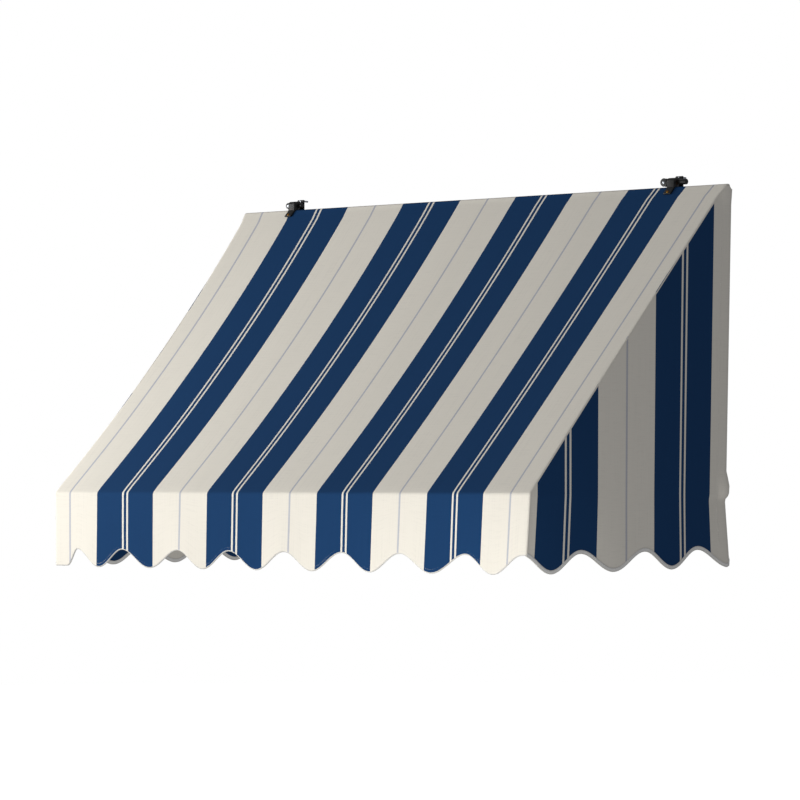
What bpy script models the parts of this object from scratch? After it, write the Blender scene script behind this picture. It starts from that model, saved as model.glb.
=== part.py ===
"""Window awning: a folding tube frame, rope pulleys and a striped cloth cover with scalloped valances.

Frame: X runs along the width, -Y points away from the wall (the wall is the plane y = 0), +Z is up.
The origin is on the wall, half-way along the width, at the height of the arm hinges. Units are metres.
"""

import math

import bmesh
import bpy
from mathutils import Vector

# Overall shape of the cloth
FRONT_HALF = 0.610            # half the width at the front crease
HINGE_HALF = 0.612            # half the width at the wall, level with the hinges
HEAD_HALF = 0.637             # half the width at the head
PROJECTION = 0.673            # wall to the outer face of the front valance
HEAD_TOP = 0.6225             # hinge level to the top of the cloth at the head
VALANCE_SHORT = 0.1105        # hinge level down to the notch between two scallops
VALANCE_DEEP = 0.1475         # hinge level down to the tip of a scallop
# Each row of scallops: where its first notch is, just past a front corner, and the width of each scallop
FRONT_SCALLOPS = (-0.670, (0.120, 0.125, 0.155, 0.137, 0.146, 0.146, 0.146, 0.160, 0.136))
WING_SCALLOPS = {
    "left": (-0.770, (0.172, 0.195, 0.200, 0.200)),
    "right": (-0.686, (0.183, 0.209, 0.181, 0.203)),
}
CLOTH = 0.0012
SEAM_GAP = 0.0009             # between the cover's cut edge and the wing sewn to it
COVER_COLUMNS = 48
WING_COLUMNS = 28
WING_ROWS = 6
SLOPE_BAYS = 8                # flat steps down the slope
EDGE_SAG = 0.0027             # the top panel's seams hang this far below flat half-way down
MIDDLE_SAG = 0.0063           # and its middle hangs this much further
LEFT_TUCK = 0.016             # the left seam is drawn in this far half-way down
LOWEST_SEAM = 0.004           # the wing's seam stays this far above the hinge level at the front
REAR_EDGE = 0.004             # gap between the wings' rear hems and the wall
GAP = 0.0003                  # between pieces that touch
BRAID_DEPTH = 0.0024          # of the binding below the hem

# Tubes
TUBE_RADIUS = 0.007
TUBE_BORE = 0.0058
SPIGOT_RADIUS = 0.0054
SPIGOT_LENGTH = 0.026
HEADER_RADIUS = 0.0095
HEADER_BORE = 0.0083
HEADER_Y = -0.026
HEADER_Z = HEAD_TOP - CLOTH - GAP - HEADER_RADIUS
HEADER_HALF = 0.6320
ARM_X = 0.590
BAR_Y = -(PROJECTION - CLOTH - GAP - TUBE_RADIUS)
BEND_RADIUS = 0.026
ELBOW_NECK = 0.003            # straight full-size length at each end of an elbow's bend
ELBOW_STEP = 0.00005          # length of the step from an elbow's neck down to its spigot
ELBOW_SCREW = 0.012           # from the tube's end to the screw that locks the elbow
ELBOW_SCREW_HEAD = 0.0030
ELBOW_SCREW_RADIUS = 0.0012
ELBOW_SCREW_BORE = 0.0015
ELBOW_SCREW_LENGTH = 0.006
CAP_PLUG = 0.012              # how far a header cap goes into the tube
CAP_DOME = 0.0020

# Wall hinges
HINGE_Y = -0.018
EAR_GAP = 0.0170
EAR_THICK = 0.0025
EAR_REACH = 0.027
EAR_HEIGHT = 0.022
PLATE_THICK = 0.003
PLATE_HEIGHT = 0.070
PLATE_WIDTH = 0.034
EYE_RADIUS = 0.0080
EYE_WIDTH = 0.0160
EYE_SHOULDER = 0.022          # from the pin to the arm tube's end
PIN_RADIUS = 0.0030
PIN_BORE = 0.0033
PIN_HEAD_RADIUS = 0.0050
PIN_HEAD = 0.0014
PIN_TAIL = 0.0030             # of the pin past its washer
WASHER_THICK = 0.0012
HINGE_SCREW_Z = 0.026

# Head brackets, and what they carry
BRACKET_X = 0.503
BRACKET_HALF = 0.009
POCKET_CLEAR = HEADER_RADIUS + GAP + CLOTH + 0.0008
TONGUE_LENGTH = 0.019
TONGUE_THICK = 0.0035
BRACKET_WALL = 0.004
BRACKET_TOP = 0.036           # the wall plate's ends, above and below the header tube's middle
BRACKET_BOTTOM = 0.034
UPPER_SCREW_Z = 0.0335
LOWER_SCREW_Z = -0.027
UPPER_SCREW_HEAD = 0.0024
CROWN_Y = HEADER_Y - 0.002    # middle of the rounded top front corner
CROWN_Z = HEADER_Z + 0.022
CROWN_RADIUS = 0.009
WALL_NOTCH = 0.031            # where the casting steps back to its wall plate
JAW = 0.004                   # thickness of the jaw under the tube, and height of its lip
JAW_REACH = 0.0125            # of the jaw in front of the tube's middle
LIP = 0.002
CLOTH_SCREW_EDGE = 0.005      # from the brass screw to the tongue's end
CLOTH_SCREW_HEAD = 0.0032
CLOTH_SCREW_RADIUS = 0.0014
CLOTH_SCREW_BORE = 0.0017
CLOTH_SCREW_LENGTH = 0.0034
BOLT_Y = -0.020
BOLT_Z = HEADER_Z + 0.0225
BOLT_RADIUS = 0.0020
BOLT_BORE = 0.0023
CHEEK = 0.0015
GROOVE_DEPTH = 0.0022
RIM = 0.0010                  # thickness of a sheave's rim and half the width of its groove's floor
BLOCK_SLACK = 0.0005          # from a sheave's rim to the block's plate
BLOCK_HEIGHT = 1.7            # of a pulley block, as a share of its sheaves' radius
SHEAVE_WIDTH = 0.0070
SHEAVE_SLACK = 0.0006         # from a sheave's faces to the cheeks, both sides together
AXLE_RADIUS = 0.0018
AXLE_BORE = 0.0021
AXLE_HEAD_RADIUS = 0.0030
AXLE_HEAD = 0.0010
AXLE_TAIL = 0.0012
BLOCK_PLATE = 0.0020
SCREW_RADIUS = 0.0019
SCREW_BORE = 0.0022
SCREW_HEAD_RADIUS = 0.0040
SCREW_HEAD = 0.0022
SCREW_LENGTH = 0.026
ROPE_EYE_X = 0.503
ROPE_EYE_RADIUS = 0.0075
ROPE_EYE_WIRE = 0.0016
ROPE_EYE_SIDES = 8
ROPE_EYE_SHANK = 0.0017
ROPE_EYE_BORE = 0.0020
# A pulley block's sheave radius and count, and its barrel nut's radius and length
LEFT_BLOCK = (0.0065, 1, 0.0050, 0.011)
RIGHT_BLOCK = (0.0085, 2, 0.0060, 0.022)

WELD = 0.000001               # points nearer than this become one
STEPS = 14                    # sides of a small turned piece
TUBE_STEPS = 16
SCREW_STEPS = 10
# The slope's outer face touches two circles: one round the header tube and one round the front bar.
HEADER_WRAP = HEADER_RADIUS + GAP + CLOTH
BAR_WRAP = TUBE_RADIUS + GAP + CLOTH
CENTRES = math.hypot(HEADER_Y - BAR_Y, HEADER_Z)
TANGENT_ANGLE = (
    math.pi / 2 + math.atan2(HEADER_Z, HEADER_Y - BAR_Y) - math.asin((HEADER_WRAP - BAR_WRAP) / CENTRES)
)

BEHIND_TUBE = math.radians(-20)   # where the cover's cloth starts, round the header tube

SIDES = (("left", -1), ("right", 1))


def clear_scene():
    for obj in list(bpy.data.objects):
        bpy.data.objects.remove(obj, do_unlink=True)


def new_collection(name):
    collection = bpy.data.collections.new(name)
    bpy.context.scene.collection.children.link(collection)
    return collection


def material(name, colour, roughness, metallic=0.0):
    made = bpy.data.materials.new(name)
    made.use_nodes = True
    shader = made.node_tree.nodes["Principled BSDF"]
    shader.inputs["Base Color"].default_value = (*colour, 1.0)
    shader.inputs["Roughness"].default_value = roughness
    shader.inputs["Metallic"].default_value = metallic
    return made


def add(name, data, look, collection=None):
    obj = bpy.data.objects.new(name, data)
    if look:
        data.materials.append(look)
    (collection or PARTS).objects.link(obj)
    return obj


def hide(obj):
    obj.hide_render = True
    obj.display_type = "WIRE"
    return obj


def aim(obj, direction):
    """Turns the object's Z axis to the direction."""
    obj.rotation_euler = Vector(direction).to_track_quat("Z", "Y").to_euler()
    return obj


def turned(name, profile, look, place, axis, closed=False, collection=None, steps=STEPS):
    """A lathe-turned shape: profile points (radius, height) run down the outer side."""
    mesh = bpy.data.meshes.new(name)
    edges = [(i, i + 1) for i in range(len(profile) - 1)]
    if closed:
        edges.append((len(profile) - 1, 0))
    mesh.from_pydata([(r, 0.0, h) for r, h in profile], edges, [])
    obj = add(name, mesh, look, collection)
    screw = obj.modifiers.new("Turn", "SCREW")
    screw.steps = screw.render_steps = steps
    screw.use_merge_vertices = True
    screw.merge_threshold = 0.00001
    screw.use_smooth_shade = True
    obj.location = place
    return aim(obj, axis)


def tube(name, start, end, outer, inner, look):
    """A straight hollow tube between two points."""
    start, end = Vector(start), Vector(end)
    length = (end - start).length
    profile = [(outer, length), (outer, 0.0), (inner, 0.0), (inner, length)]
    return turned(name, profile, look, start, end - start, closed=True, steps=TUBE_STEPS)


def rod(name, start, end, radius, look=None, collection=None, steps=STEPS):
    """A straight solid rod between two points."""
    start, end = Vector(start), Vector(end)
    length = (end - start).length
    profile = [(0.0, length), (radius, length), (radius, 0.0), (0.0, 0.0)]
    return turned(name, profile, look, start, end - start, collection=collection, steps=steps)


def boolean(obj, other, operation):
    modifier = obj.modifiers.new(operation.title(), "BOOLEAN")
    modifier.operation = operation
    modifier.solver = "EXACT"
    modifier.object = other


def drill(obj, start, end, radius):
    """A round hole between two points."""
    cutter = rod(obj.name + "_drill", start, end, radius, None, CUTTERS, SCREW_STEPS)
    boolean(obj, hide(cutter), "DIFFERENCE")


def box(name, low, high, look=None, collection=None):
    mesh = bpy.data.meshes.new(name)
    shape = bmesh.new()
    bmesh.ops.create_cube(shape, size=1.0)
    low, high = Vector(low), Vector(high)
    bmesh.ops.scale(shape, vec=high - low, verts=shape.verts)
    bmesh.ops.translate(shape, vec=(low + high) / 2, verts=shape.verts)
    shape.to_mesh(mesh)
    shape.free()
    return add(name, mesh, look, collection)


def mesh_from_curve(name, curve):
    """The closed mesh of a curve, with its caps welded on."""
    guide = bpy.data.objects.new(name + "_curve", curve)
    CUTTERS.objects.link(guide)
    bpy.context.view_layer.update()
    mesh = bpy.data.meshes.new_from_object(guide.evaluated_get(bpy.context.evaluated_depsgraph_get()))
    bpy.data.objects.remove(guide)
    shape = bmesh.new()
    shape.from_mesh(mesh)
    bmesh.ops.remove_doubles(shape, verts=shape.verts, dist=WELD)
    bmesh.ops.recalc_face_normals(shape, faces=shape.faces)
    shape.to_mesh(mesh)
    shape.free()
    return mesh


def poly_curve(name, dimensions, points):
    """A curve of straight segments through points (x, y, radius scale) at z = 0, and its spline."""
    curve = bpy.data.curves.new(name, "CURVE")
    curve.dimensions = dimensions
    spline = curve.splines.new("POLY")
    spline.points.add(len(points) - 1)
    for point, (x, y, scale) in zip(spline.points, points):
        point.co = (x, y, 0.0, 1.0)
        point.radius = scale
    return curve, spline


def plate(name, outline, thickness, look, collection=None):
    """A closed flat outline given as (x, y) points, extruded along Z about z = 0, as a mesh."""
    curve, spline = poly_curve(name, "2D", [(x, y, 1.0) for x, y in outline])
    spline.use_cyclic_u = True
    curve.fill_mode = "BOTH"
    curve.extrude = thickness / 2
    return add(name, mesh_from_curve(name, curve), look, collection)


def arc(centre, radius, first, last, count):
    """Points on a circle in a plane, at angles from first to last in radians."""
    angles = [first + (last - first) * i / (count - 1) for i in range(count)]
    return [(centre[0] + radius * math.cos(a), centre[1] + radius * math.sin(a)) for a in angles]


def pan_screw(name, seat, into, look, radius=SCREW_HEAD_RADIUS, shank=SCREW_RADIUS, length=SCREW_LENGTH):
    """A domed-head screw whose head sits on the seat point and whose shank runs along into."""
    head = SCREW_HEAD * radius / SCREW_HEAD_RADIUS
    profile = [(0.0, head), (0.55 * radius, 0.86 * head), (0.88 * radius, 0.45 * head), (radius, 0.0)]
    profile += [(shank, 0.0), (shank, 0.0012 - length), (0.0, -length)]
    return turned(name, profile, look, seat, -Vector(into), steps=SCREW_STEPS)


def scallop(place, row):
    """Height of the scalloped edge: each scallop is a half wave of a cosine between two notches."""
    left, widths = row
    for width in widths:
        if place <= left + width:
            break
        left += width
    across = min(max((place - left) / width, 0.0), 1.0)
    wave = 0.5 - 0.5 * math.cos(2 * math.pi * across)
    return -VALANCE_SHORT - (VALANCE_DEEP - VALANCE_SHORT) * wave


def half_width(y, z):
    """Half the awning's width at a point: straight down the front, flared towards the head at the wall."""
    back = (y + PROJECTION) / (PROJECTION + HEADER_Y)
    rear = HINGE_HALF + (HEAD_HALF - HINGE_HALF) * max(z, 0.0) / HEAD_TOP
    return FRONT_HALF + (rear - FRONT_HALF) * back


def down_slope(y):
    """How far down the slope this y is: 0 over the header tube and 1 over the front bar."""
    return min(max((HEADER_Y - y) / (HEADER_Y - BAR_Y), 0.0), 1.0)


def tuck(side, y, z):
    """How far the seam on this side is drawn in, strongest half-way down the slope."""
    if side > 0 or z <= 0.0:
        return 0.0
    down = down_slope(y)
    level = min(z / max((1.0 - down) * HEAD_TOP, LOWEST_SEAM), 1.0)
    return LEFT_TUCK * 4 * down * (1 - down) * level


def cover_profile():
    """(y, z) points of the cover's outer face, from behind the header tube down to the front bar."""
    top = arc((HEADER_Y, HEADER_Z), HEADER_WRAP, BEHIND_TUBE, TANGENT_ANGLE, 8)
    front = arc((BAR_Y, 0.0), BAR_WRAP, TANGENT_ANGLE, math.pi, 3)
    slope = []
    for i in range(1, SLOPE_BAYS):
        part = i / SLOPE_BAYS
        y = top[-1][0] + (front[0][0] - top[-1][0]) * part
        z = top[-1][1] + (front[0][1] - top[-1][1]) * part
        slope.append((y, z - EDGE_SAG * 4 * part * (1 - part)))
    return top + slope + front


def wing_top(y):
    """Height of the cover's outer face above this y, which is the wing's seam."""
    profile = [point for point in cover_profile() if point[1] > 0]
    if y > HEADER_Y:
        return HEADER_Z + math.sqrt(max(HEADER_WRAP**2 - (y - HEADER_Y) ** 2, 0.0))
    for (y0, z0), (y1, z1) in zip(profile, profile[1:]):
        if y1 <= y <= y0 and y0 > y1:
            return z0 + (z1 - z0) * (y - y0) / (y1 - y0)
    return profile[-1][1]


def sheet(name, columns, rows, place, look):
    """A cloth sheet: a grid whose points go where place(column, row) says, thickened inwards."""
    mesh = bpy.data.meshes.new(name)
    shape = bmesh.new()
    bmesh.ops.create_grid(shape, x_segments=columns, y_segments=rows, size=1.0)
    for vert in shape.verts:
        across, along = (vert.co.x + 1) / 2, (vert.co.y + 1) / 2
        vert.co = place(across, round(along * rows))
    shape.to_mesh(mesh)
    shape.free()
    mesh.shade_smooth()
    obj = add(name, mesh, look)
    solid = obj.modifiers.new("Thickness", "SOLIDIFY")
    solid.thickness = CLOTH
    solid.offset = -1.0
    return obj


def make_cover():
    """The top panel and the front valance: one cloth from the head, over the front bar, to the scallops."""
    profile = cover_profile()
    rows = len(profile) + 1
    inset = CLOTH + SEAM_GAP

    def place(across, row):
        row = rows - row
        y, z = profile[min(row, len(profile) - 1)]
        left = -half_width(y, z) + inset + tuck(-1, y, z)
        right = half_width(y, z) - inset
        x = left + (right - left) * across
        if row >= len(profile):
            hem = scallop(x, FRONT_SCALLOPS)
            return x, y, hem / 2 if row == len(profile) else hem
        down = down_slope(y)
        return x, y, z - MIDDLE_SAG * 4 * across * (1 - across) * 4 * down * (1 - down)

    sheet("cover_cloth", COVER_COLUMNS, rows, place, CLOTH_LOOK)


def make_wing(label, side):
    """A side wing: the triangle under the slope and its own scalloped valance, in one cloth."""
    depth = PROJECTION - REAR_EDGE
    behind = HEADER_Y + HEADER_WRAP - GAP

    def place(across, row):
        y = depth * across - PROJECTION
        top = max(wing_top(min(y, behind)), LOWEST_SEAM)
        bottom = scallop(y, WING_SCALLOPS[label])
        z = bottom + (top - bottom) * row / WING_ROWS
        x = half_width(y, z) - tuck(side, y, z)
        return side * x, y, z

    wing = sheet(f"wing_cloth_{label}", WING_COLUMNS, WING_ROWS, place, CLOTH_LOOK)
    if side < 0:
        wing.data.flip_normals()


def make_braid(name, ends, scallops, point_at, count):
    """The binding sewn along a scalloped edge: a flat strip that hangs from the hem."""
    mesh = bpy.data.meshes.new(name)
    shape = bmesh.new()
    bmesh.ops.create_grid(shape, x_segments=count, y_segments=1, size=1.0)
    for vert in shape.verts:
        place = ends[0] + (ends[1] - ends[0]) * (vert.co.x + 1) / 2
        hem = scallop(place, scallops) - GAP
        vert.co = point_at(place, hem if vert.co.y > 0 else hem - BRAID_DEPTH)
    shape.to_mesh(mesh)
    shape.free()
    obj = add(name, mesh, BRAID_LOOK)
    solid = obj.modifiers.new("Thickness", "SOLIDIFY")
    solid.thickness = CLOTH
    solid.offset = 0.0
    return obj


def make_cloth():
    """Makes the cover, the wings and their braids, and returns the braids, which fold with the frame."""
    make_cover()
    half = FRONT_HALF - CLOTH - SEAM_GAP
    front_y = CLOTH / 2 - PROJECTION

    def on_front(x, z):
        return x, front_y, z

    braids = [make_braid("front_braid", (-half, half), FRONT_SCALLOPS, on_front, COVER_COLUMNS)]
    for label, side in SIDES:

        def on_wing(y, z, side=side):
            return side * (half_width(y, z) - CLOTH / 2), y, z

        make_wing(label, side)
        braids.append(make_braid(f"wing_braid_{label}", (-PROJECTION, -REAR_EDGE), WING_SCALLOPS[label],
                                 on_wing, WING_COLUMNS))
    return braids


def make_header():
    ends = [(side * HEADER_HALF, HEADER_Y, HEADER_Z) for _, side in SIDES]
    tube("header_tube", *ends, HEADER_RADIUS, HEADER_BORE, TUBE_LOOK)
    plug = HEADER_BORE - GAP
    rim = 0.4 * CAP_DOME
    for label, side in SIDES:
        seat = (side * (HEADER_HALF + GAP), HEADER_Y, HEADER_Z)
        profile = [(0.0, CAP_DOME), (0.7 * HEADER_RADIUS, 0.87 * CAP_DOME), (HEADER_RADIUS, rim),
                   (HEADER_RADIUS, 0.0), (plug, 0.0), (plug, -CAP_PLUG), (0.0, -CAP_PLUG)]
        turned(f"header_cap_{label}", profile, PLASTIC_LOOK, seat, (side, 0, 0))


def bracket_outline():
    """(y, z) outline of a head bracket: wall plate, head over the tube, front tongue and lower jaw."""
    normal = (math.cos(TANGENT_ANGLE), math.sin(TANGENT_ANGLE))
    down = (-normal[1], normal[0])
    hook = arc((HEADER_Y, HEADER_Z), POCKET_CLEAR, TANGENT_ANGLE, math.radians(62), 5)
    outer = (HEADER_Y + normal[0] * (POCKET_CLEAR + TONGUE_THICK),
             HEADER_Z + normal[1] * (POCKET_CLEAR + TONGUE_THICK))
    tip = [(p[0] + down[0] * TONGUE_LENGTH, p[1] + down[1] * TONGUE_LENGTH) for p in (outer, hook[0])]
    crown = arc((CROWN_Y, CROWN_Z), CROWN_RADIUS, math.radians(150), math.radians(90), 4)
    top, bottom = HEADER_Z + BRACKET_TOP, HEADER_Z - BRACKET_BOTTOM
    wall = [(-BRACKET_WALL, HEADER_Z + WALL_NOTCH), (-BRACKET_WALL, top), (0.0, top),
            (0.0, bottom), (-BRACKET_WALL, bottom)]
    jaw_top = HEADER_Z - HEADER_RADIUS - GAP
    reach = HEADER_Y - JAW_REACH
    jaw = [(-BRACKET_WALL, jaw_top - JAW), (reach + JAW_REACH / 5, jaw_top - JAW), (reach, jaw_top),
           (reach, jaw_top + JAW), (reach + LIP, jaw_top + JAW), (reach + 2 * LIP, jaw_top),
           (-BRACKET_WALL, jaw_top), (-BRACKET_WALL, hook[-1][1])]
    return [tip[1], tip[0], outer] + crown + wall + jaw + hook[::-1][:-1]


def make_bracket(label, side):
    """A cast bracket that hooks over the header tube, with its two wall screws and brass cloth screw."""
    x = side * BRACKET_X
    body = plate(f"head_bracket_{label}", bracket_outline(), 2 * BRACKET_HALF, CAST_LOOK)
    body.rotation_euler = (math.pi / 2, 0.0, math.pi / 2)
    body.location = (x, 0.0, 0.0)
    drill(body, (x - 2 * BRACKET_HALF, BOLT_Y, BOLT_Z), (x + 2 * BRACKET_HALF, BOLT_Y, BOLT_Z), BOLT_BORE)
    screws = (("upper", UPPER_SCREW_Z, UPPER_SCREW_HEAD), ("lower", LOWER_SCREW_Z, SCREW_HEAD_RADIUS))
    for word, z, head in screws:
        seat = (x, -BRACKET_WALL - GAP, HEADER_Z + z)
        drill(body, (x, -2 * BRACKET_WALL, seat[2]), (x, BRACKET_WALL, seat[2]), SCREW_BORE)
        pan_screw(f"bracket_screw_{label}_{word}", seat, (0, 1, 0), STEEL_LOOK, head)
    normal = Vector((0.0, math.cos(TANGENT_ANGLE), math.sin(TANGENT_ANGLE)))
    down = Vector((0.0, -normal.z, normal.y))
    spot = Vector((x, HEADER_Y, HEADER_Z)) + normal * (POCKET_CLEAR + TONGUE_THICK)
    spot += down * (TONGUE_LENGTH - CLOTH_SCREW_EDGE)
    drill(body, spot + normal * TONGUE_THICK, spot - normal * 2 * TONGUE_THICK, CLOTH_SCREW_BORE)
    pan_screw(f"cloth_screw_{label}", spot + normal * GAP, -normal, BRASS_LOOK, CLOTH_SCREW_HEAD,
              CLOTH_SCREW_RADIUS, CLOTH_SCREW_LENGTH)


def block_outline(face, first, radius, count):
    """(x, y) outline of a pulley block: a back plate on the bracket and a cheek beside each sheave."""
    pitch = SHEAVE_WIDTH + SHEAVE_SLACK + CHEEK
    plate_x = face - BLOCK_PLATE
    tip_x = plate_x - BLOCK_SLACK - 2 * radius - BLOCK_SLACK
    outline = [(face, first), (tip_x, first), (tip_x, first + CHEEK)]
    for k in range(1, count + 1):
        cheek = first + k * pitch
        outline += [(plate_x, cheek - pitch + CHEEK), (plate_x, cheek)]
        outline += [(tip_x, cheek), (tip_x, cheek + CHEEK)]
    return outline + [(face, first + count * pitch + CHEEK)]


def make_pulleys(label, side, radius, count, nut_radius, nut_length):
    """A pulley block on the side of the bracket, held by a stud and a barrel nut, and its sheaves.

    The sheaves turn on an axle along Y.
    """
    face = side * BRACKET_X - BRACKET_HALF - GAP
    pitch = SHEAVE_WIDTH + SHEAVE_SLACK + CHEEK
    depth = count * pitch + CHEEK
    first = BOLT_Y - depth / 2
    plate_x = face - BLOCK_PLATE
    block = plate(f"pulley_block_{label}", block_outline(face, first, radius, count), BLOCK_HEIGHT * radius,
                  CAST_LOOK)
    block.location = (0.0, 0.0, BOLT_Z)
    axle_x = plate_x - BLOCK_SLACK - radius
    drill(block, (axle_x, first - CHEEK, BOLT_Z), (axle_x, first + depth + CHEEK, BOLT_Z), AXLE_BORE)
    drill(block, (plate_x - BLOCK_PLATE, BOLT_Y, BOLT_Z), (face + BLOCK_PLATE, BOLT_Y, BOLT_Z), BOLT_BORE)

    end = -depth - AXLE_TAIL
    profile = [(0.0, AXLE_HEAD), (0.85 * AXLE_HEAD_RADIUS, 0.7 * AXLE_HEAD), (AXLE_HEAD_RADIUS, 0.0),
               (AXLE_RADIUS, 0.0), (AXLE_RADIUS, end), (0.0, end)]
    turned(f"sheave_axle_{label}", profile, STEEL_LOOK, (axle_x, first - GAP, BOLT_Z), (0, -1, 0),
           steps=SCREW_STEPS)
    half = SHEAVE_WIDTH / 2
    groove = radius - GROOVE_DEPTH
    rim = [(radius, half), (radius, half - RIM), (groove, RIM), (groove, -RIM), (radius, RIM - half),
           (radius, -half), (AXLE_BORE, -half), (AXLE_BORE, half)]
    words = (label,) if count == 1 else (f"{label}_front", f"{label}_rear")
    for k, word in enumerate(words):
        y = first + CHEEK + SHEAVE_SLACK / 2 + half + k * pitch
        turned(f"sheave_{word}", rim, PLASTIC_LOOK, (axle_x, y, BOLT_Z), (0, 1, 0), closed=True,
               steps=TUBE_STEPS)

    nut_x = side * BRACKET_X + BRACKET_HALF + GAP
    socket = 0.7 * nut_length
    stud_end = (nut_x + 0.8 * socket, BOLT_Y, BOLT_Z)
    rod(f"block_stud_{label}", (plate_x, BOLT_Y, BOLT_Z), stud_end, BOLT_RADIUS, STEEL_LOOK,
        steps=SCREW_STEPS)
    nut = [(0.0, nut_length), (0.6 * nut_radius, 0.95 * nut_length), (nut_radius, 0.75 * nut_length),
           (nut_radius, 0.0), (BOLT_BORE, 0.0), (BOLT_BORE, socket), (0.0, socket)]
    turned(f"barrel_nut_{label}", nut, CAST_LOOK, (nut_x, BOLT_Y, BOLT_Z), (1, 0, 0))


def make_hinge(label, side):
    """A folded wall hinge with its pin, retaining washer and two wall screws."""
    x = side * ARM_X
    inner, outer = EAR_GAP / 2, EAR_GAP / 2 + EAR_THICK
    ears = [(x - outer, 0.0), (x - outer, -EAR_REACH), (x - inner, -EAR_REACH), (x - inner, -PLATE_THICK),
            (x + inner, -PLATE_THICK), (x + inner, -EAR_REACH), (x + outer, -EAR_REACH), (x + outer, 0.0)]
    hinge = plate(f"wall_hinge_{label}", ears, EAR_HEIGHT, STEEL_LOOK)
    middle = x - side * (PLATE_WIDTH / 2 - outer)
    half = PLATE_HEIGHT / 2
    base = box(f"hinge_base_{label}", (middle - PLATE_WIDTH / 2, -PLATE_THICK, -half),
               (middle + PLATE_WIDTH / 2, 0.0, half), None, CUTTERS)
    boolean(hinge, hide(base), "UNION")
    drill(hinge, (x - 2 * outer, HINGE_Y, 0.0), (x + 2 * outer, HINGE_Y, 0.0), PIN_BORE)
    for word, way in (("upper", 1), ("lower", -1)):
        z = way * HINGE_SCREW_Z
        drill(hinge, (middle, -2 * PLATE_THICK, z), (middle, PLATE_THICK, z), SCREW_BORE)
        pan_screw(f"hinge_screw_{label}_{word}", (middle, -PLATE_THICK - GAP, z), (0, 1, 0), STEEL_LOOK)
    tail = -2 * outer - 2 * GAP - PIN_TAIL
    profile = [(0.0, PIN_HEAD), (0.8 * PIN_HEAD_RADIUS, PIN_HEAD), (PIN_HEAD_RADIUS, PIN_HEAD / 2),
               (PIN_HEAD_RADIUS, 0.0), (PIN_RADIUS, 0.0), (PIN_RADIUS, tail), (0.0, tail)]
    turned(f"hinge_pin_{label}", profile, STEEL_LOOK, (x + side * (outer + GAP), HINGE_Y, 0.0), (side, 0, 0))
    ring = [(PIN_HEAD_RADIUS, WASHER_THICK), (PIN_HEAD_RADIUS, 0.0), (PIN_BORE, 0.0),
            (PIN_BORE, WASHER_THICK)]
    turned(f"pin_washer_{label}", ring, STEEL_LOOK, (x - side * (outer + GAP), HINGE_Y, 0.0),
           (-side, 0, 0), closed=True)


def make_arm(label, side, bar):
    """A side arm with its hinge eye, its corner elbow and the two screws that lock the elbow."""
    x = side * ARM_X
    corner_y = BAR_Y + BEND_RADIUS + ELBOW_NECK
    bar_end = side * (ARM_X - BEND_RADIUS - ELBOW_NECK)
    arm = tube(f"arm_{label}", (x, HINGE_Y - EYE_SHOULDER - GAP, 0.0), (x, corner_y + GAP, 0.0), TUBE_RADIUS,
               TUBE_BORE, TUBE_LOOK)
    eye = rod(f"arm_eye_{label}", (x - EYE_WIDTH / 2, HINGE_Y, 0.0), (x + EYE_WIDTH / 2, HINGE_Y, 0.0),
              EYE_RADIUS, CAST_LOOK)
    spigot = -EYE_SHOULDER - SPIGOT_LENGTH
    stem = [(0.0, 0.0), (TUBE_RADIUS, 0.0), (TUBE_RADIUS, -EYE_SHOULDER), (SPIGOT_RADIUS, -EYE_SHOULDER),
            (SPIGOT_RADIUS, spigot), (0.0, spigot)]
    boolean(eye, hide(turned(f"eye_stem_{label}", stem, None, (x, HINGE_Y, 0.0), (0, 1, 0),
                             collection=CUTTERS)), "UNION")
    drill(eye, (x - EYE_WIDTH, HINGE_Y, 0.0), (x + EYE_WIDTH, HINGE_Y, 0.0), PIN_BORE)

    elbow = make_elbow(f"corner_elbow_{label}", side)
    under = -TUBE_RADIUS - GAP
    screws = []
    for word, px, py, body in (("arm", x, corner_y + ELBOW_SCREW, arm),
                               ("bar", bar_end - side * ELBOW_SCREW, BAR_Y, bar)):
        for target in (body, elbow):
            drill(target, (px, py, 2 * under), (px, py, GAP), ELBOW_SCREW_BORE)
        screws.append(pan_screw(f"elbow_screw_{label}_{word}", (px, py, under), (0, 0, 1), STEEL_LOOK,
                                ELBOW_SCREW_HEAD, ELBOW_SCREW_RADIUS, ELBOW_SCREW_LENGTH))
    return [arm, eye, elbow, *screws]


def make_elbow(name, side):
    """A corner elbow: a bent solid rod whose thinner ends plug into the arm and the front bar."""
    arm_x, bar_x = side * ARM_X, side * (ARM_X - BEND_RADIUS)
    centre = (bar_x, BAR_Y + BEND_RADIUS)
    start, end = math.radians(0 if side > 0 else 180), math.radians(-90 if side > 0 else 270)
    thin = SPIGOT_RADIUS / TUBE_RADIUS
    step = ELBOW_NECK + ELBOW_STEP
    points = [(arm_x, centre[1] + SPIGOT_LENGTH, thin), (arm_x, centre[1] + step, thin)]
    points.append((arm_x, centre[1] + ELBOW_NECK, 1.0))
    points += [(px, py, 1.0) for px, py in arc(centre, BEND_RADIUS, start, end, 9)]
    points.append((bar_x - side * ELBOW_NECK, BAR_Y, 1.0))
    points += [(bar_x - side * step, BAR_Y, thin), (bar_x - side * SPIGOT_LENGTH, BAR_Y, thin)]
    curve, _ = poly_curve(name, "3D", points)
    curve.bevel_depth = TUBE_RADIUS
    curve.bevel_resolution = 2
    curve.use_fill_caps = True
    mesh = mesh_from_curve(name, curve)
    mesh.shade_smooth()
    return add(name, mesh, CAST_LOOK)


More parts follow.
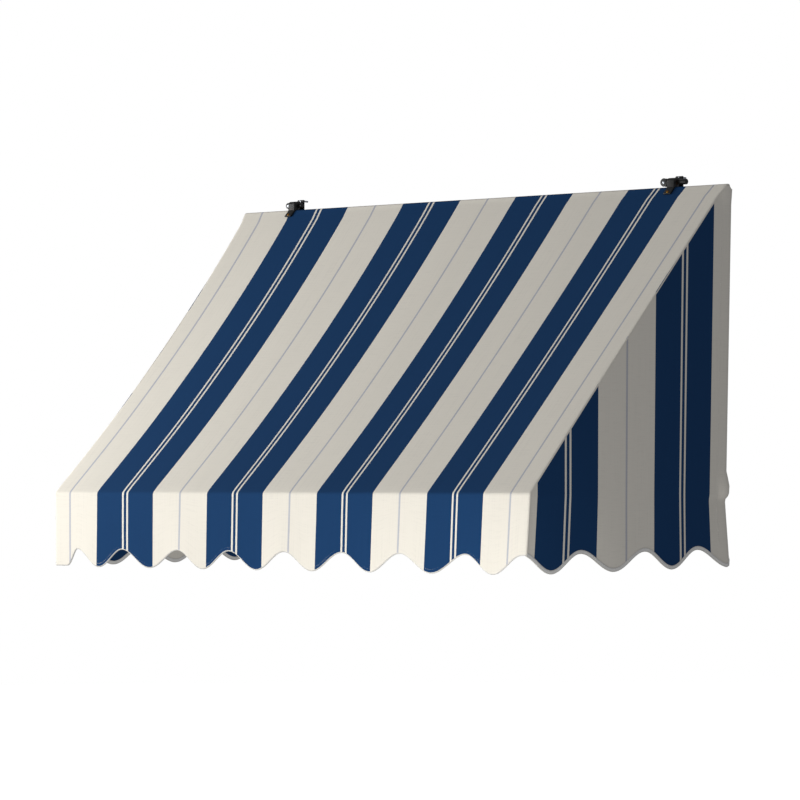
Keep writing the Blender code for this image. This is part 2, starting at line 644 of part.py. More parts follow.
def make_rope_eye(label, side, bar):
    """A screw eye behind the front bar, where a lifting rope ties on."""
    x = side * ROPE_EYE_X
    back = BAR_Y + TUBE_RADIUS
    ring_y = back + ROPE_EYE_RADIUS + 2 * ROPE_EYE_WIRE
    ring = arc((ROPE_EYE_RADIUS, 0.0), ROPE_EYE_WIRE, 0.0, -2 * math.pi, ROPE_EYE_SIDES + 1)[:-1]
    eye = turned(f"rope_eye_{label}", ring, STEEL_LOOK, (x, ring_y, 0.0), (1, 0, 0), closed=True)
    shank = rod(f"eye_shank_{label}", (x, BAR_Y - TUBE_RADIUS / 2, 0.0), (x, ring_y - ROPE_EYE_RADIUS, 0.0),
                ROPE_EYE_SHANK, None, CUTTERS, SCREW_STEPS)
    boolean(eye, hide(shank), "UNION")
    drill(bar, (x, BAR_Y - TUBE_BORE + GAP, 0.0), (x, back + ROPE_EYE_WIRE, 0.0), ROPE_EYE_BORE)
    return eye


def make_frame():
    """The folding frame, on an empty at the hinge axis."""
    pivot = bpy.data.objects.new("frame_pivot", None)
    PARTS.objects.link(pivot)
    pivot.location = (0.0, HINGE_Y, 0.0)
    end = ARM_X - BEND_RADIUS - ELBOW_NECK - GAP
    bar = tube("front_bar", (-end, BAR_Y, 0.0), (end, BAR_Y, 0.0), TUBE_RADIUS, TUBE_BORE, TUBE_LOOK)
    moving = [bar]
    for label, side in SIDES:
        moving += make_arm(label, side, bar)
        moving.append(make_rope_eye(label, side, bar))
    return pivot, moving


def main():
    make_header()
    for label, side in SIDES:
        make_bracket(label, side)
        make_hinge(label, side)
    make_pulleys("left", -1, *LEFT_BLOCK)
    make_pulleys("right", 1, *RIGHT_BLOCK)
    pivot, moving = make_frame()
    moving += make_cloth()
    bpy.context.view_layer.update()
    for obj in moving:
        obj.parent = pivot
        obj.matrix_parent_inverse = pivot.matrix_world.inverted()


clear_scene()
PARTS = new_collection("window_awning")
CUTTERS = new_collection("cutters")
CUTTERS.hide_render = True
CLOTH_LOOK = material("striped_cloth", (0.80, 0.77, 0.70), 0.90)
BRAID_LOOK = material("white_braid", (0.90, 0.88, 0.84), 0.85)
TUBE_LOOK = material("painted_tube", (0.75, 0.75, 0.73), 0.40, 0.0)
CAST_LOOK = material("black_casting", (0.02, 0.02, 0.02), 0.45, 0.0)
STEEL_LOOK = material("zinc_steel", (0.55, 0.56, 0.58), 0.35, 1.0)
PLASTIC_LOOK = material("black_plastic", (0.03, 0.03, 0.03), 0.50, 0.0)
BRASS_LOOK = material("brass", (0.72, 0.48, 0.18), 0.35, 1.0)
main()
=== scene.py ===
"""Looks of a folding window awning: striped canvas, scalloped valances and cast rope pulleys.

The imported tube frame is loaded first. The canvas, its bindings and stitches, the castings at the head and
every finish are then made around it. X runs along the width, -Y points away from the wall and +Z is up.
Units are metres.
"""

import math

import bmesh
import bpy
import numpy as np
from bpy.props import FloatProperty, FloatVectorProperty, IntProperty, PointerProperty
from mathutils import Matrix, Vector


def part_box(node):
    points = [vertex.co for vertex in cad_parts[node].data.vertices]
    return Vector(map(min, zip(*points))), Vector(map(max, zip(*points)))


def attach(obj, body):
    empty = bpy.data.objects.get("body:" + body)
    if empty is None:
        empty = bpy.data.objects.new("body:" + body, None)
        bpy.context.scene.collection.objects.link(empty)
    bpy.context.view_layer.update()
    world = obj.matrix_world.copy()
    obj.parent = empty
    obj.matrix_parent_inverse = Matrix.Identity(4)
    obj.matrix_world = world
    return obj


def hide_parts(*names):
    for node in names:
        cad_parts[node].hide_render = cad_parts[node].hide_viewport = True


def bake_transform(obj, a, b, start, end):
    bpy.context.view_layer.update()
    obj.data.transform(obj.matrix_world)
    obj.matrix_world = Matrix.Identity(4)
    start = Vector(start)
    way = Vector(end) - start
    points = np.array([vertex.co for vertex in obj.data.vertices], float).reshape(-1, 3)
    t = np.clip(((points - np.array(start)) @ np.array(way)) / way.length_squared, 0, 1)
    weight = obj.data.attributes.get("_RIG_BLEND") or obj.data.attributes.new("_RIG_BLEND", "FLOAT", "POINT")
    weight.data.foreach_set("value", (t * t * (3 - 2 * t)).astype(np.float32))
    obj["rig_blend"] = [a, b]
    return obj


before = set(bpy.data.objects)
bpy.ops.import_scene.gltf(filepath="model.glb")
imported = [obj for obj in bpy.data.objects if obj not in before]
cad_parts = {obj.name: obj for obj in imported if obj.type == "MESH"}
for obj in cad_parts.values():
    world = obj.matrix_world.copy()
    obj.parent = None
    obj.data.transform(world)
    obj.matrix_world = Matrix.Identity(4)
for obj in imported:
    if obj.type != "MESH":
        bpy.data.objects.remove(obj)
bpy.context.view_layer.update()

bl_info = {
    "name": "Window Awning",
    "version": (1, 0, 0),
    "blender": (4, 5, 0),
    "location": "3D View > Sidebar > Awning",
    "description": "Dresses a folding tube frame as a striped canvas window awning",
    "category": "Add Mesh",
}

MM = 0.001


def centre_and_radius(name):
    """Centre of a tube that runs along X, and its radius."""
    low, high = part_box(name)
    return (low + high) / 2, (high.z - low.z) / 2


def middle_of(name):
    """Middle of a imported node's box."""
    low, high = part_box(name)
    return (low + high) / 2


HEADER, HEADER_RADIUS = centre_and_radius("header_tube")
BAR, BAR_RADIUS = centre_and_radius("front_bar")
BAR_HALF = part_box("front_bar")[1].x
HINGE_Y = middle_of("hinge_pin_right").y
FRONT_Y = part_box("cover_cloth")[0].y
BRACKET_X = middle_of("head_bracket_right").x
ROPE_EYE_X = middle_of("rope_eye_right").x
SIDES = (("left", -1), ("right", 1))

CLOTH = 1.2 * MM
TOUCH = 0.3 * MM              # between pieces that lie on each other
FRONT_HALF = 0.610
# Half the width at the wall on each side: level with the hinges, and at the head
REAR_HALF = {-1: (0.612, 0.6365), 1: (0.6160, 0.6325)}
HEAD_TOP = HEADER.z + HEADER_RADIUS + TOUCH + CLOTH
HEADER_WRAP = HEADER_RADIUS + TOUCH + CLOTH
BAR_WRAP = BAR_RADIUS + TOUCH + CLOTH
REAR_Y = -4 * MM
NOTCH = 0.1105                # hinge level down to the notch between two scallops
TIP = 0.1475                  # hinge level down to the tip of a scallop
# Each row of scallops: where its first notch is, and the width of each scallop
FRONT_SCALLOPS = (-0.670, (0.120, 0.125, 0.155, 0.137, 0.146, 0.146, 0.146, 0.160, 0.136))
SIDE_SCALLOPS = {
    -1: (-0.770, (0.172, 0.195, 0.200, 0.200)),
    1: (-0.686, (0.183, 0.209, 0.181, 0.203)),
}
SEAM_CORNER = 1.2 * MM        # radius of the cover's rolled side seams
SLEEVE_LAP = 0.030            # how far the head sleeve is sewn on below the header tube
VALANCE_ROWS = 16
WRAP_POINTS = 9
BRACKET_GAP = 0.0125          # half the width of the sleeve's cut-out at a head bracket
SIDE_ROWS = 64
BELOW_HINGE = 0.35            # share of a side panel's rows below the hinge level
FRONT_BINDING = 7.5 * MM
SIDE_BINDING = 5.5 * MM
HARD_EDGE = math.radians(50)


# --- Colours and nodes -----------------------------------------------------------------------------

def linear(hex_colour):
    """Linear RGBA of an sRGB hex colour."""
    values = [int(hex_colour[i:i + 2], 16) / 255 for i in (1, 3, 5)]
    return (*[v / 12.92 if v <= 0.04045 else ((v + 0.055) / 1.055) ** 2.4 for v in values], 1.0)


def node(tree, kind, inputs=None, **settings):
    """Adds a node, sets its properties, and fills its inputs with values or links."""
    made = tree.nodes.new(kind)
    for name, value in settings.items():
        setattr(made, name, value)
    for name, value in (inputs or {}).items():
        if isinstance(value, bpy.types.NodeSocket):
            tree.links.new(value, made.inputs[name])
        else:
            made.inputs[name].default_value = value
    return made


def ramp(tree, factor, stops, interpolation="LINEAR"):
    """The colour output of a ramp whose stops are (position, colour)."""
    made = node(tree, "ShaderNodeValToRGB", {"Fac": factor})
    band = made.color_ramp
    band.interpolation = interpolation
    while len(band.elements) < len(stops):
        band.elements.new(1.0)
    for element, (place, colour) in zip(band.elements, stops):
        element.position = place
        element.color = colour
    return made.outputs["Color"]


def surface(name, **constants):
    """A material, its tree and its one Principled shader, whose constant sockets are set here."""
    made = bpy.data.materials.new(name)
    made.use_nodes = True
    tree = made.node_tree
    shader = tree.nodes["Principled BSDF"]
    for socket, value in constants.items():
        shader.inputs[socket.replace("_", " ")].default_value = value
    return made, tree, shader


def roughen(tree, shader, height, strength, distance):
    """Bumps the surface by a height, with the bump's depth in metres."""
    bump = node(tree, "ShaderNodeBump", {"Height": height, "Strength": strength, "Distance": distance})
    tree.links.new(bump.outputs["Normal"], shader.inputs["Normal"])


def grey(value):
    """Opaque grey of this linear value."""
    return (value, value, value, 1.0)


def waves(spacing):
    """Scale of a wave texture whose crests are this many metres apart."""
    return 2 * math.pi / 20 / spacing


# --- Materials -------------------------------------------------------------------------------------

def woven_canvas(name, stripes, cloth):
    """Solution-dyed acrylic canvas, plain weave: dead matt, crisp yarn-dyed stripes, faint uneven yarns.

    stripes are the middle of one blue band and the repeat, in metres along U. Each blue band holds two
    fine cream lines and each cream band a grey pinstripe. The real yarns are 0.5 mm apart. They are
    drawn 1.1 mm apart so that they show close up.
    """
    look, tree, shader = surface(name, Roughness=0.92, Specular_IOR_Level=0.1)
    first, period = stripes
    cream, blue, pinstripe = ((*colour, 1.0) for colour in (cloth.cream, cloth.blue, cloth.pinstripe))
    place = node(tree, "ShaderNodeUVMap", uv_map="cloth").outputs["UV"]
    split = node(tree, "ShaderNodeSeparateXYZ", {"Vector": place})
    # Distance from the middle of the nearest blue band, in repeats: 0 in its middle, 0.5 between two.
    shifted = node(tree, "ShaderNodeMath", {0: split.outputs["X"], 1: first}, operation="SUBTRACT")
    repeats = node(tree, "ShaderNodeMath", {0: shifted.outputs[0], 1: period}, operation="DIVIDE")
    distance = node(tree, "ShaderNodeMath", {0: repeats.outputs[0], 1: 0.5}, operation="PINGPONG")
    core, lines, band, pin = 0.0, 0.0100, 0.0255, 0.2525
    bands = ((core, blue), (lines, cream), (band, blue), (pin, cream), (0.4902, pinstripe))
    striped = ramp(tree, distance.outputs[0], bands, "CONSTANT")
    streaks = node(tree, "ShaderNodeMapping", {"Vector": place, "Scale": (420.0, 9.0, 1.0)})
    yarn = node(tree, "ShaderNodeTexNoise", {"Vector": streaks.outputs[0], "Scale": 1.0, "Detail": 2.0})
    slubs = node(tree, "ShaderNodeMapping", {"Vector": place, "Scale": (24.0, 520.0, 1.0)})
    weft = node(tree, "ShaderNodeTexNoise", {"Vector": slubs.outputs[0], "Scale": 1.0, "Detail": 2.0})
    both = node(tree, "ShaderNodeMath", {0: yarn.outputs["Fac"], 1: weft.outputs["Fac"]}, operation="ADD")
    uneven = ramp(tree, both.outputs[0], ((0.72, grey(0.95)), (1.0, grey(1.0))))
    dyed = node(tree, "ShaderNodeMix", {"Factor": 1.0, 6: striped, 7: uneven}, data_type="RGBA",
                blend_type="MULTIPLY")
    tree.links.new(dyed.outputs[2], shader.inputs["Base Color"])
    yarns = {"Vector": place, "Scale": waves(1.1 * MM)}
    warp = node(tree, "ShaderNodeTexWave", yarns, bands_direction="X")
    fill = node(tree, "ShaderNodeTexWave", yarns, bands_direction="Y")
    weave = node(tree, "ShaderNodeMath", {0: warp.outputs["Fac"], 1: fill.outputs["Fac"]},
                 operation="MULTIPLY")
    relief = node(tree, "ShaderNodeMath", {0: weave.outputs[0], 1: both.outputs[0]}, operation="ADD")
    roughen(tree, shader, relief.outputs[0], 0.16, 0.25 * MM)
    return look


def canvas(kind, cloth):
    """The canvas of the cover, or of the side panels, whose stripes repeat further apart."""
    name = f"acrylic_canvas_{kind}"
    stripes = {"cover": (-0.4008, 0.2841), "side": (-0.5505, 0.3850)}[kind]
    return bpy.data.materials.get(name) or woven_canvas(name, stripes, cloth)


def ribbed_tape(name, width):
    """Woven polyester binding tape: a smooth white ribbed ribbon, with painted shade where it folds and where
    it ends.

    V is the height above the fold. The ribs of the real tape are 1 mm apart. They are drawn 1.6 mm apart.
    """
    look, tree, shader = surface(name, Roughness=0.7, Specular_IOR_Level=0.3)
    place = node(tree, "ShaderNodeUVMap", uv_map="cloth").outputs["UV"]
    split = node(tree, "ShaderNodeSeparateXYZ", {"Vector": place})
    height = node(tree, "ShaderNodeMapRange", {"Value": split.outputs["Y"], "From Min": -0.8 * MM,
                                               "From Max": width})
    # Painted shade: the tape is drawn darker at its fold under the hem and at its top edge against the cloth.
    painted_shade, tape = linear("#DAD7CE"), linear("#FAF8F2")
    tone = ramp(tree, height.outputs[0], ((0.0, painted_shade), (0.14, tape), (0.88, tape), (1.0, painted_shade)))
    soil = node(tree, "ShaderNodeTexNoise", {"Vector": place, "Scale": 30.0, "Detail": 3.0})
    soiled = ramp(tree, soil.outputs["Fac"], ((0.35, grey(1.0)), (0.8, grey(0.93))))
    worn = node(tree, "ShaderNodeMix", {"Factor": 1.0, 6: tone, 7: soiled}, data_type="RGBA",
                blend_type="MULTIPLY")
    tree.links.new(worn.outputs[2], shader.inputs["Base Color"])
    ribs = node(tree, "ShaderNodeTexWave", {"Vector": place, "Scale": waves(1.6 * MM)}, bands_direction="X")
    roughen(tree, shader, ribs.outputs["Fac"], 0.3, 0.3 * MM)
    return look


def sewing_thread():
    """Spun polyester sewing thread: fine, slightly lustrous stitches, a little greyer than the canvas."""
    look, tree, shader = surface("polyester_thread", Roughness=0.6, Specular_IOR_Level=0.4)
    place = node(tree, "ShaderNodeTexCoord").outputs["Object"]
    twist = node(tree, "ShaderNodeTexNoise", {"Vector": place, "Scale": 900.0})
    tone = ramp(tree, twist.outputs["Fac"], ((0.3, linear("#D8D5CC")), (0.8, linear("#F4F2EC"))))
    tree.links.new(tone, shader.inputs["Base Color"])
    return look


def drawn_aluminium(name, along):
    """Mill-finish drawn aluminium tube: soft grey shine with fine die lines along its length."""
    look, tree, shader = surface(name, Metallic=1.0)
    place = node(tree, "ShaderNodeTexCoord").outputs["Object"]
    scale = [3.0 if axis == along else 900.0 for axis in range(3)]
    lines = node(tree, "ShaderNodeMapping", {"Vector": place, "Scale": scale})
    die = node(tree, "ShaderNodeTexNoise", {"Vector": lines.outputs[0], "Scale": 1.0, "Detail": 3.0})
    cloud = node(tree, "ShaderNodeTexNoise", {"Vector": place, "Scale": 22.0, "Detail": 4.0})
    tone = ramp(tree, cloud.outputs["Fac"], ((0.3, linear("#B9BCBE")), (0.75, linear("#9FA2A5"))))
    tree.links.new(tone, shader.inputs["Base Color"])
    rough = node(tree, "ShaderNodeMapRange", {"Value": cloud.outputs["Fac"], "To Min": 0.3, "To Max": 0.5})
    tree.links.new(rough.outputs[0], shader.inputs["Roughness"])
    roughen(tree, shader, die.outputs["Fac"], 0.15, 0.1 * MM)
    return look


def powder_coat(name):
    """Black powder coat on a zinc casting: satin, with a fine orange peel, rubbed brown in a few places."""
    look, tree, shader = surface(name)
    place = node(tree, "ShaderNodeTexCoord").outputs["Object"]
    peel = node(tree, "ShaderNodeTexNoise", {"Vector": place, "Scale": 900.0, "Detail": 2.0})
    patch = node(tree, "ShaderNodeTexNoise", {"Vector": place, "Scale": 120.0, "Detail": 4.0})
    coat = linear("#1B1B19")
    tone = ramp(tree, patch.outputs["Fac"], ((0.0, coat), (0.60, coat), (0.72, linear("#4A2E1C"))))
    tree.links.new(tone, shader.inputs["Base Color"])
    rough = node(tree, "ShaderNodeMapRange", {"Value": patch.outputs["Fac"], "To Min": 0.32, "To Max": 0.55})
    tree.links.new(rough.outputs[0], shader.inputs["Roughness"])
    roughen(tree, shader, peel.outputs["Fac"], 0.35, 0.3 * MM)
    return look


def moulded_nylon(name):
    """Injection-moulded black nylon: even and waxy, with a faint spark-eroded texture."""
    look, tree, shader = surface(name, Roughness=0.45)
    place = node(tree, "ShaderNodeTexCoord").outputs["Object"]
    grain = node(tree, "ShaderNodeTexNoise", {"Vector": place, "Scale": 1400.0, "Detail": 2.0})
    tone = ramp(tree, grain.outputs["Fac"], ((0.35, linear("#161615")), (0.7, linear("#2B2B2A"))))
    tree.links.new(tone, shader.inputs["Base Color"])
    roughen(tree, shader, grain.outputs["Fac"], 0.2, 0.2 * MM)
    return look


def small_metal(name, light, dark, roughness):
    """Plated or plain metal of small hardware: bright, with cloudy plating and fine tumbling scratches."""
    look, tree, shader = surface(name, Metallic=1.0)
    place = node(tree, "ShaderNodeTexCoord").outputs["Object"]
    cloud = node(tree, "ShaderNodeTexNoise", {"Vector": place, "Scale": 160.0, "Detail": 4.0})
    tone = ramp(tree, cloud.outputs["Fac"], ((0.35, linear(light)), (0.7, linear(dark))))
    tree.links.new(tone, shader.inputs["Base Color"])
    scratch = node(tree, "ShaderNodeTexNoise", {"Vector": place, "Scale": 1500.0, "Detail": 1.0})
    rough = node(tree, "ShaderNodeMapRange", {"Value": scratch.outputs["Fac"], "To Min": roughness - 0.08,
                                              "To Max": roughness + 0.14})
    tree.links.new(rough.outputs[0], shader.inputs["Roughness"])
    return look


# --- Meshes from numpy grids -----------------------------------------------------------------------

def grid_faces(rows, columns, wrap_columns=False):
    """Quads of a rows x columns grid of points, numbered row by row."""
    index = np.arange(rows * columns).reshape(rows, columns)
    if wrap_columns:
        index = np.hstack([index, index[:, :1]])
    corners = (index[:-1, :-1], index[:-1, 1:], index[1:, 1:], index[1:, :-1])
    return np.stack([c.ravel() for c in corners], axis=1)


def mesh_object(name, points, faces, uv, look, caps=()):
    """A mesh object at the origin from points (n, 3), quads (m, 4), UVs in metres (n, 2) and end polygons."""
    used, renumbered = np.unique(faces, return_inverse=True)
    faces = renumbered.reshape(faces.shape)
    lookup = np.full(len(points), -1)
    lookup[used] = np.arange(len(used))
    ends = [lookup[cap].tolist() for cap in caps]
    mesh = bpy.data.meshes.new(name)
    mesh.from_pydata(points[used].tolist(), [], faces.tolist() + ends)
    layer = mesh.uv_layers.new(name="cloth")
    loops = np.empty(len(mesh.loops), np.int32)
    mesh.loops.foreach_get("vertex_index", loops)
    layer.data.foreach_set("uv", uv[used][loops].astype(np.float32).ravel())
    mesh.materials.append(look)
    obj = bpy.data.objects.new(name, mesh)
    bpy.context.scene.collection.objects.link(obj)
    mesh.shade_smooth()
    mesh.set_sharp_from_angle(angle=HARD_EDGE)
    return obj


def thicken(obj):
    """Gives a sheet its thickness behind the drawn face, and keeps the cut edges crisp."""
    solid = obj.modifiers.new("Thickness", "SOLIDIFY")
    solid.thickness = CLOTH
    solid.offset = -1.0
    bpy.context.view_layer.update()
    mesh = bpy.data.meshes.new_from_object(obj.evaluated_get(bpy.context.evaluated_depsgraph_get()))
    obj.modifiers.clear()
    obj.data = mesh
    mesh.name = obj.name
    mesh.set_sharp_from_angle(angle=HARD_EDGE)
    return obj


def close_up(obj):
    """Merges doubled points, as at poles, and turns every face of a closed mesh outwards."""
    shape = bmesh.new()
    shape.from_mesh(obj.data)
    bmesh.ops.remove_doubles(shape, verts=shape.verts, dist=0.001 * MM)
    bmesh.ops.recalc_face_normals(shape, faces=shape.faces)
    shape.to_mesh(obj.data)
    shape.free()
    obj.data.set_sharp_from_angle(angle=HARD_EDGE)
    return obj


def lofted(name, rings, uv, look):
    """A closed body through rings of points (rows, columns, 3), with a cap on each end ring."""
    rows, columns = rings.shape[:2]
    last = (rows - 1) * columns
    caps = (np.arange(columns), np.arange(last + columns - 1, last - 1, -1))
    faces = grid_faces(rows, columns, wrap_columns=True)
    return close_up(mesh_object(name, rings.reshape(-1, 3), faces, uv.reshape(-1, 2), look, caps))


def lengths(path):
    """Distance along a path of points, from its start."""
    return np.concatenate([[0.0], np.cumsum(np.linalg.norm(np.diff(path, axis=0), axis=1))])


def unit(vectors):
    """The vectors, each scaled to length 1."""
    return vectors / np.linalg.norm(vectors, axis=-1, keepdims=True)


def smooth_step(value):
    """0 up to 0 and 1 from 1 on, with a smooth cubic rise between."""
    value = np.clip(value, 0.0, 1.0)
    return value * value * (3 - 2 * value)


def circle(centre, radius, angles):
    """Points (n, 2) on a circle, at angles in radians."""
    return np.array(centre) + radius * np.stack([np.cos(angles), np.sin(angles)], axis=1)


def straight(start, end, count):
    """count points from start up to, but without, end."""
    return start + (end - start) * np.linspace(0, 1, count + 1)[:-1, None]


def touching_angle(point, centre, radius, way):
    """Angle at which a straight line from the point touches the circle, on the side that way gives."""
    reach = np.array(point) - centre
    return math.atan2(reach[1], reach[0]) + way * math.acos(radius / np.linalg.norm(reach))


# --- Shape of the cloth ----------------------------------------------------------------------------

def scallop(place, scallops, squared_first=False):
    """Height of the scalloped hem: each scallop is a half wave of a cosine, notch to notch.

    With squared_first the first scallop keeps its full depth almost to the notch, then steps up.
    """
    start, widths = scallops
    notches = start + np.concatenate([[0.0], np.cumsum(widths)])
    which = np.clip(np.searchsorted(notches, place) - 1, 0, len(widths) - 1)
    part = np.clip((place - notches[which]) / np.array(widths)[which], 0.0, 1.0)
    depth = 0.5 - 0.5 * np.cos(2 * np.pi * part)
    if squared_first:
        depth = np.where(which == 0, 0.95 * smooth_step((notches[1] - place) / 0.028), depth)
    return -NOTCH - (TIP - NOTCH) * depth


def down_slope(y):
    """How far down the slope this y is: 0 over the header tube and 1 over the front bar."""
    return np.clip((HEADER.y - y) / (HEADER.y - BAR.y), 0.0, 1.0)


def side_x(side, y, z):
    """Distance of the cloth's outer face from the middle of the awning, at y and z on one side.

    It runs straight from the front corner to the wall, where it flares towards the head. The tube end
    lifts the top rear corner, the hinge lifts a small dome, and the hem hangs freely below it. The left
    seam is drawn in half-way down, and the right hem turns in towards the front.
    """
    hinge_half, head_half = REAR_HALF[side]
    seam_bow, hem_flare = 0.016, 0.0078
    tube_lift, tube_reach = 0.0060, 0.034
    hinge_lift, hinge_reach = 0.0085, 0.0240
    back = (y - FRONT_Y) / (HEADER.y - FRONT_Y)
    rear = hinge_half + (head_half - hinge_half) * np.maximum(z, 0.0) / HEAD_TOP
    x = FRONT_HALF + (rear - FRONT_HALF) * back
    low = np.clip(-z / NOTCH, 0.0, 1.4)
    near_wall = smooth_step((y + 0.16) / 0.15)
    x = x + (hem_flare * low - 0.0040 * smooth_step(-z / 0.015)) * near_wall
    if side > 0:
        x = x - 0.0075 * low * smooth_step((-0.25 - y) / 0.42)
    else:
        x = x + 0.0025 * smooth_step((-0.5 - y) / 0.17)
        down = down_slope(y)
        level = np.clip(z / np.maximum((1.0 - down) * HEAD_TOP, 0.02), 0.0, 1.0)
        x = x - seam_bow * 4 * down * (1 - down) * level
    tube_end = np.hypot(y - HEADER.y, z - HEADER.z) / tube_reach
    x = x + tube_lift * (1 - smooth_step(tube_end))
    hinge = np.hypot(y + 0.012, z - 0.010) / hinge_reach
    return x + hinge_lift * np.sqrt(np.clip(1.0 - hinge**2, 0.0, 1.0))


def tangent_angle():
    """Angle round the header tube and the front bar at which the straight slope touches both wraps."""
    run = math.hypot(HEADER.y - BAR.y, HEADER.z - BAR.z)
    rise = math.atan2(HEADER.z - BAR.z, HEADER.y - BAR.y)
    return math.pi / 2 + rise - math.asin((HEADER_WRAP - BAR_WRAP) / run)


TANGENT = tangent_angle()
SLOPE_NORMAL = np.array([math.cos(TANGENT), math.sin(TANGENT)])
SLOPE_DOWN = np.array([-SLOPE_NORMAL[1], SLOPE_NORMAL[0]])
TUBE_YZ = np.array([HEADER.y, HEADER.z])
BAR_YZ = np.array([BAR.y, BAR.z])


def cover_rows():
    """(y, z) of the cover's outer face, from the raw edge inside, round the header tube, down to the bar.

    Four stretches: a straight lap under the slope, a circle round the tube, the straight slope, and a
    circle round the bar that ends facing the street. Also gives the row where the slope starts.
    """
    lap_end = TUBE_YZ + SLOPE_NORMAL * (HEADER_WRAP - 2.2 * CLOTH) + SLOPE_DOWN * (HEADER_WRAP + SLEEVE_LAP)
    leave = touching_angle(lap_end, TUBE_YZ, HEADER_WRAP, 1)
    sleeve = circle(TUBE_YZ, HEADER_WRAP, np.linspace(leave, TANGENT, 34))
    lap = straight(lap_end, sleeve[0], 7)
    wrap = circle(BAR_YZ, BAR_WRAP, np.linspace(TANGENT, math.pi, WRAP_POINTS))
    slope = straight(sleeve[-1], wrap[0], 61)[1:]
    return np.vstack([lap, sleeve, slope, wrap]), len(lap) + len(sleeve)


def sag(across, down):
    """How far the slope hangs below straight: a shallow catenary both ways, with faint pulled creases."""
    dip = 4 * down * (1 - down)
    middle = 4 * across * (1 - across)
    creases = np.sin(across * 21.0 + 3.0 * down) * 0.5 + np.sin(across * 47.0 - 5.0 * down + 1.3) * 0.2
    return (0.0027 + 0.0063 * middle + 0.0006 * creases) * dip


def ripple(x, depth):
    """How far the loose front valance stands off straight, growing towards its hem."""
    return (0.0011 * np.sin(x * 23.0 + 0.7) + 0.0006 * np.sin(x * 51.0 + 2.0)) * depth**1.5


def blend_with_frame(obj):
    """Lets cloth follow the folding frame: its share of the turn falls evenly from the arms to the header."""
    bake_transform(obj, "wall_side", "frame", start=(0, HEADER.y, HEADER.z), end=(0, BAR.y, BAR.z))
    mesh = obj.data
    points = np.empty(len(mesh.vertices) * 3, np.float32)
    mesh.vertices.foreach_get("co", points)
    y, z = points.reshape(-1, 3)[:, 1], points.reshape(-1, 3)[:, 2]
    angle = np.degrees(np.arctan2(z, HINGE_Y - y))
    still, rigid = 86.0, 2.0
    above = np.clip((still - angle) / (still - rigid), 0.0, 1.0)
    below = np.clip((angle + 180.0) / 90.0, 0.0, 1.0)
    share = np.where(angle >= 0, above, below)
    mesh.attributes["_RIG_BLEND"].data.foreach_set("value", share.astype(np.float32))


def cover_points(across):
    """Points and UVs of the cover's outer face: one row for each profile point, one column across.

    The slope rows follow the profile and sag, and the valance rows share out the height down to each
    column's hem. The outermost columns roll round a corner to close on the side panels. U follows the
    stripes, which drift a little across the cloth as it was cut, and V is the length down the cloth.
    """
    profile, first_slope = cover_rows()
    roll = np.radians([90.0, 60.0, 30.0])
    corner_out = SEAM_CORNER * np.sin(roll)
    corner_fold = SEAM_CORNER * (1 - np.cos(roll))
    flat = np.zeros(len(across))
    parts = np.concatenate([np.zeros(3), across, np.ones(3)])
    outs = np.concatenate([-corner_out, flat, corner_out[::-1]])
    folds = np.concatenate([corner_fold, flat, corner_fold[::-1]])

    hang = np.linspace(0, 1, VALANCE_ROWS + 1)[1:, None]
    crease_x = (parts * 2 - 1) * FRONT_HALF
    fall_z = hang * scallop(crease_x, FRONT_SCALLOPS, squared_first=True)
    slope_y, slope_z = (np.broadcast_to(profile[:, k:k + 1], (len(profile), len(parts))) for k in (0, 1))
    y = np.vstack([slope_y, np.full_like(fall_z, FRONT_Y)])
    z = np.vstack([slope_z, fall_z])
    # Round the tube the sleeve ends inside the side panels. From the top of the tube on, it rolls over them.
    row = np.arange(len(y))[:, None]
    over = smooth_step((row - first_slope + 14) / 6.0)
    inset = (SEAM_CORNER - TOUCH) * over + (CLOTH + 3 * TOUCH) * (1 - over)
    left = -side_x(-1, y, z) + inset
    right = side_x(1, y, z) - inset
    x = left + (right - left) * parts + outs * over

    tangent = unit(np.gradient(np.stack([y, z], axis=-1), axis=0))
    on_slope = (row >= first_slope - 1) & (row < len(profile) - WRAP_POINTS + 1)
    down = np.where(on_slope, down_slope(y), 0.0)
    lift = -folds * over - sag(parts, down)
    lift[len(profile):] += ripple(x[len(profile):], hang)
    y = y + tangent[..., 1] * lift
    z = z - tangent[..., 0] * lift
    points = np.stack([x, y, z], axis=-1)
    up = np.where(row < len(profile), 1.0 - down_slope(y), 0.0)
    stripe = crease_x + 0.0824 * crease_x**2 - 1.22 * up * (0.0055 + 0.0075 * parts)
    length = lengths(points[:, len(parts) // 2])
    return points, np.stack(np.broadcast_arrays(stripe + (outs * over), -length[:, None]), axis=-1)


def make_cover(cloth):
    """The awning's top panel and front valance, one cloth with a sewn sleeve round the header tube."""
    cuts = [side * BRACKET_X + way * BRACKET_GAP for _, side in SIDES for way in (-1, 1)]
    across = np.unique(np.concatenate([np.linspace(0, 1, cloth.cover_columns),
                                       [0.5 + cut / (2 * REAR_HALF[1][1]) for cut in cuts]]))
    points, uv = cover_points(across)
    rows, columns = points.shape[:2]
    faces = grid_faces(rows, columns)
    middle = points.reshape(-1, 3)[faces].mean(axis=1)
    # The sleeve is cut away behind and under the tube where each bracket holds it.
    row = faces[:, 0] // columns
    first_slope = cover_rows()[1]
    wrapped = (row > 4) & (row < first_slope - 4)
    at_bracket = np.abs(np.abs(middle[:, 0]) - BRACKET_X) < BRACKET_GAP
    over_top = (middle[:, 1] < HEADER.y + 0.004) & (middle[:, 2] > HEADER.z)
    faces = faces[~(wrapped & at_bracket & ~over_top)]
    return thicken(mesh_object("canvas_cover", points.reshape(-1, 3), faces, uv.reshape(-1, 2),
                               canvas("cover", cloth)))


